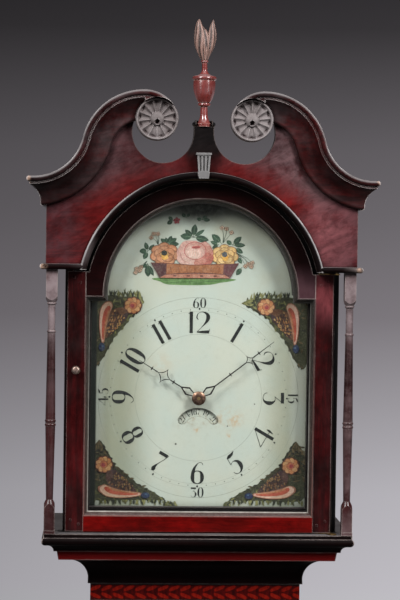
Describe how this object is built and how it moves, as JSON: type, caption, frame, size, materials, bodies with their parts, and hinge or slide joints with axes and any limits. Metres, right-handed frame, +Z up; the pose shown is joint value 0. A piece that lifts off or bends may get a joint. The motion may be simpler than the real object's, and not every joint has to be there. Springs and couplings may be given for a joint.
{
  "type": "tall case clock",
  "caption": "Tall case clock with swan-neck hood, slender columns, arched glazed door, painted dial with date slot, one-day weight movement and pendulum.",
  "frame": {"origin": "floor level, below the middle of the case's width and depth", "axes": "+Z up, the dial faces -Y, +X to the viewer's right"},
  "size_m": [0.524, 0.265, 2.3201],
  "materials": {
    "case_wood": "aged varnish",
    "inside_wood": "bare",
    "hood_wood": "aged varnish",
    "carved_wood": "worn",
    "finial_wood": "aged varnish",
    "inlay": "polished",
    "glass": "clear",
    "putty": "matte",
    "brass": "aged",
    "dial_paint": "satin",
    "date_disc": "satin",
    "hand_steel": "blackened",
    "bronze": "dull",
    "iron": "matte",
    "steel": "satin"
  },
  "bodies": {
    "case": {"backboard": "inside_wood", "trunk_sides": "case_wood", "trunk_front_frame": "case_wood", "trunk_inlay_band": "inlay", "trunk_top_cove": "case_wood", "base_top_moulding": "case_wood", "base_panels": "case_wood", "base_floor": "inside_wood", "bracket_feet": "case_wood", "seatboard": "inside_wood", "trunk_hinge_leaves": "brass", "dial_plate": "dial_paint", "front_plate": "brass", "back_plate": "brass", "plate_pillars": "brass", "pendulum_cock": "brass"},
    "hood": {"hood_base_moulding": "hood_wood", "hood_sides": "hood_wood", "frieze_sides": "hood_wood", "hood_roof": "inside_wood", "dial_surround": "hood_wood", "scroll_board": "hood_wood", "swan_neck_left": "hood_wood", "swan_neck_right": "hood_wood", "rosette_left": "carved_wood", "rosette_right": "carved_wood", "arch_bead": "hood_wood", "keystone": "carved_wood", "finial_collar": "hood_wood", "finial_urn": "finial_wood", "finial_flame": "finial_wood", "column_left": "hood_wood", "column_right": "hood_wood"},
    "hood_door": {"hood_door_stile_left": "hood_wood", "hood_door_stile_right": "hood_wood", "hood_door_bottom_rail": "hood_wood", "hood_door_arch_head": "hood_wood", "hood_door_glass": "glass", "hood_door_putty": "putty", "hood_door_knob": "brass", "hood_door_hinges": "brass"},
    "trunk_door": {"trunk_door_panel": "case_wood", "trunk_door_escutcheon": "brass", "trunk_door_hinges": "brass"},
    "minute_pipe": {"cannon_pinion": "brass", "minute_hand": "hand_steel", "hand_collet": "bronze"},
    "centre_arbor": {"centre_wheel": "brass"},
    "hour_pipe": {"hour_wheel": "brass", "hour_hand": "hand_steel"},
    "minute_wheel": {"minute_wheel": "brass"},
    "calendar": {"calendar_wheel": "date_disc"},
    "great_arbor": {"great_wheel": "brass"},
    "third_arbor": {"third_wheel": "brass"},
    "escape_arbor": {"escape_wheel": "brass"},
    "verge": {"verge": "steel"},
    "pendulum": {"pendulum_rod": "steel", "pendulum_bob": "brass"},
    "weight": {"driving_weight": "iron"},
    "weight_pulley": {"weight_pulley": "brass"}
  },
  "joints": [
    {"name": "hood_slide", "type": "slide", "parent": "case", "child": "hood", "axis": [0, -1, 0], "range_m": [0, 0.3]},
    {"name": "hood_door_hinge", "type": "hinge", "parent": "hood", "child": "hood_door", "pos_m": [0.203, -0.0955, 1.7], "axis": [0, 0, 1], "range_deg": [0, 105]},
    {"name": "trunk_door_hinge", "type": "hinge", "parent": "case", "child": "trunk_door", "pos_m": [0.11025, -0.034, 1], "axis": [0, 0, 1], "range_deg": [0, 110]},
    {"name": "minute_hand_turn", "type": "hinge", "parent": "case", "child": "minute_pipe", "pos_m": [0, 0, 1.75], "axis": [0, 1, 0], "continuous": true},
    {"name": "centre_wheel_turn", "type": "hinge", "parent": "case", "child": "centre_arbor", "pos_m": [0, 0, 1.75], "axis": [0, 1, 0], "continuous": true},
    {"name": "hour_hand_turn", "type": "hinge", "parent": "case", "child": "hour_pipe", "pos_m": [0, 0, 1.75], "axis": [0, 1, 0], "continuous": true},
    {"name": "minute_wheel_turn", "type": "hinge", "parent": "case", "child": "minute_wheel", "pos_m": [-0.0303, 0, 1.73248], "axis": [0, 1, 0], "continuous": true},
    {"name": "calendar_turn", "type": "hinge", "parent": "case", "child": "calendar", "pos_m": [0, 0, 1.697], "axis": [0, 1, 0], "continuous": true},
    {"name": "great_wheel_turn", "type": "hinge", "parent": "case", "child": "great_arbor", "pos_m": [0.038, 0, 1.7259], "axis": [0, 1, 0], "continuous": true},
    {"name": "third_wheel_turn", "type": "hinge", "parent": "case", "child": "third_arbor", "pos_m": [-0.016, 0, 1.78], "axis": [0, 1, 0], "continuous": true},
    {"name": "escape_wheel_turn", "type": "hinge", "parent": "case", "child": "escape_arbor", "pos_m": [0, 0, 1.80449], "axis": [0, 1, 0], "continuous": true},
    {"name": "pendulum_swing", "type": "hinge", "parent": "case", "child": "pendulum", "pos_m": [0, 0.0815, 1.83849], "axis": [0, 1, 0], "range_deg": [-2.5, 2.5]},
    {"name": "verge_rock", "type": "hinge", "parent": "case", "child": "verge", "pos_m": [0, 0, 1.83849], "axis": [0, 1, 0], "range_deg": [-2.5, 2.5]},
    {"name": "weight_lift", "type": "slide", "parent": "case", "child": "weight", "axis": [0, 0, 1], "range_m": [0, 1.15]},
    {"name": "weight_pulley_turn", "type": "hinge", "parent": "weight", "child": "weight_pulley", "pos_m": [0.038, 0.0275, 0.339], "axis": [0, 1, 0], "continuous": true}
  ],
  "couplings": [
    {"joint": "hour_hand_turn", "follows": "minute_hand_turn", "ratio": 0.083333},
    {"joint": "minute_wheel_turn", "follows": "minute_hand_turn", "ratio": -0.75},
    {"joint": "calendar_turn", "follows": "minute_hand_turn", "ratio": 0.0013441},
    {"joint": "great_wheel_turn", "follows": "escape_wheel_turn", "ratio": -0.0041667},
    {"joint": "third_wheel_turn", "follows": "escape_wheel_turn", "ratio": -0.125},
    {"joint": "centre_wheel_turn", "follows": "escape_wheel_turn", "ratio": 0.016667},
    {"joint": "verge_rock", "follows": "pendulum_swing", "ratio": 1}
  ]
}
